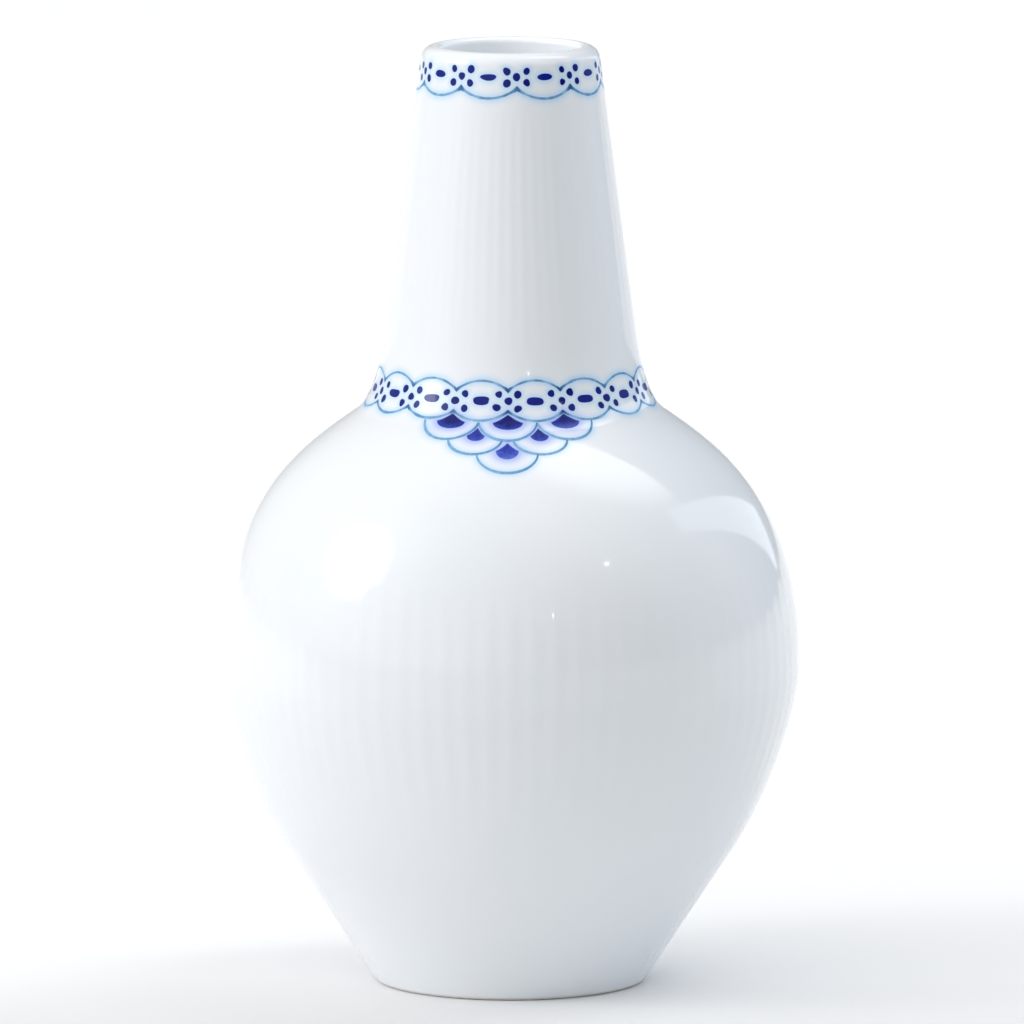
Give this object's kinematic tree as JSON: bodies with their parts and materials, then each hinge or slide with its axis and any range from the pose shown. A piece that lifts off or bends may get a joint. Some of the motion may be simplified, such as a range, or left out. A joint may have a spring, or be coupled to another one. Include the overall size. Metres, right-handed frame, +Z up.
{
  "type": "sake bottle",
  "caption": "Round-bellied porcelain sake bottle with a tapering ribbed neck, a painted blue lace collar and rim, and a turned foot; it holds and pours warm sake.",
  "frame": {"origin": "centre of the circle that the foot ring stands on", "axes": "+Z up along the bottle's axis; the painted pendant on the shoulder faces -Y, the front"},
  "size_m": [0.089, 0.089, 0.145],
  "materials": {
    "porcelain_glaze": "clear gloss glaze over cool white porcelain",
    "foot_porcelain": "glazed outside, with a bare fine-grained standing edge",
    "dark_cobalt": "dense underglaze cobalt brushwork under gloss glaze",
    "pale_cobalt_line": "thin grey-blue underglaze cobalt line under gloss glaze"
  },
  "bodies": {
    "root": {"neck": "porcelain_glaze", "body": "porcelain_glaze", "foot_ring": "foot_porcelain", "rim_lace_scallops": "pale_cobalt_line", "rim_lace_dots": "dark_cobalt", "rim_lace_dashes": "dark_cobalt", "collar_lace_scallops": "pale_cobalt_line", "collar_lace_dots": "dark_cobalt", "collar_lace_dashes": "dark_cobalt", "pendant_scale_outlines": "pale_cobalt_line", "pendant_scale_hearts": "dark_cobalt"}
  },
  "joints": []
}
